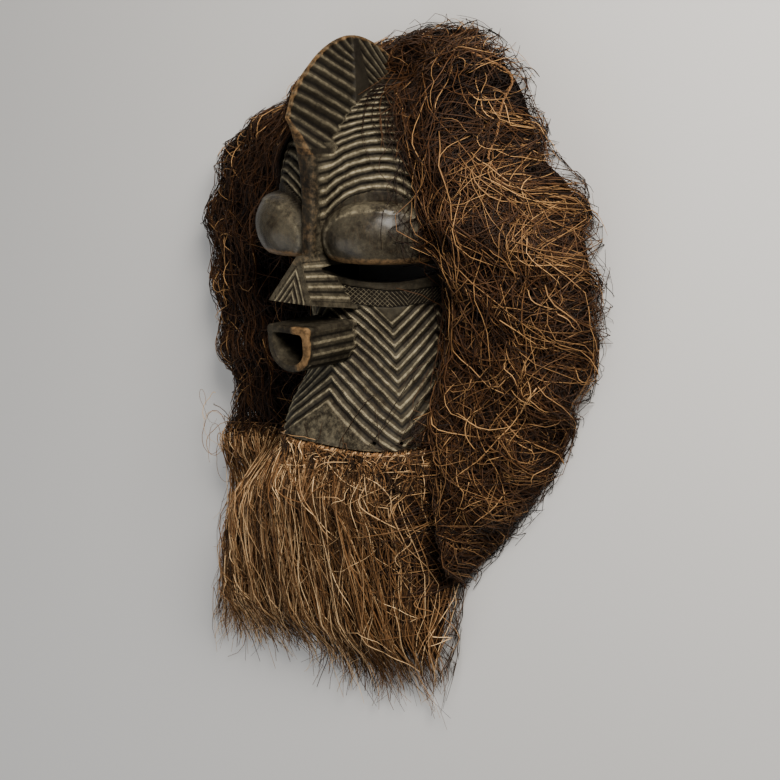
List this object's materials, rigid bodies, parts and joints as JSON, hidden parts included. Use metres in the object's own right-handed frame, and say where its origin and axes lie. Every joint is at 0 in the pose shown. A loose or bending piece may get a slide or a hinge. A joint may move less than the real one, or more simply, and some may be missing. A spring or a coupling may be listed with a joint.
{
  "type": "songye kifwebe mask",
  "caption": "Carved wooden face mask with a tall crest, grooved face, slit eyes and tube mouth, ringed by a shaggy raffia mane and beard, lying on its back.",
  "frame": {"origin": "centre of the lying mask's bounding box, at the ground", "axes": "+Y runs up the face to the crown, +Z comes out of the face, +X is the mask's own left"},
  "size_m": [0.5518, 0.753, 0.212],
  "materials": {
    "carved_wood": "blackened, dull sheen, pale kaolin dust on the carved crests, brown where worn",
    "mane_raffia": "dark reddish-brown tangled fibre",
    "beard_raffia": "golden-brown hanging fibre",
    "twisted_cord": "brown two-ply twisted fibre"
  },
  "bodies": {
    "root": {"wooden_mask": "carved_wood", "raffia_mane": "mane_raffia", "raffia_beard": "beard_raffia", "beard_header_cord": "twisted_cord"}
  },
  "joints": []
}
